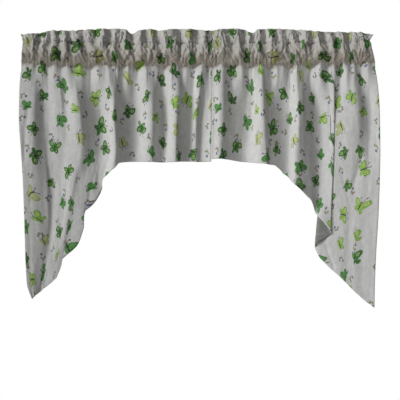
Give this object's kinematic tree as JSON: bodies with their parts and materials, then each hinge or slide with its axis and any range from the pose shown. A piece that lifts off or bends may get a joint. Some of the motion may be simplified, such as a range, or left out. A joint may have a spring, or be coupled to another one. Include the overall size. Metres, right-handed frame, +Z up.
{
  "type": "window swag",
  "caption": "Gathered cotton window swag: side-by-side panels with a ruffled rod-pocket heading, a short level middle and long slanted tails at the outer ends.",
  "frame": {"origin": "middle of the top edge, above the rod's centre line, where the hung swag is held up", "axes": "+X along the rod to the right as seen from the room, +Z up, the room on the -Y side"},
  "size_m": [1.1846, 0.0591, 0.9164],
  "materials": {
    "left_heading_cotton": "matte printed cotton, gathered",
    "left_drop_cotton": "matte printed cotton",
    "right_heading_cotton": "matte printed cotton, gathered",
    "right_drop_cotton": "matte printed cotton"
  },
  "bodies": {
    "root": {"left_heading": "left_heading_cotton", "left_panel": "left_drop_cotton", "right_heading": "right_heading_cotton", "right_panel": "right_drop_cotton"}
  },
  "joints": []
}
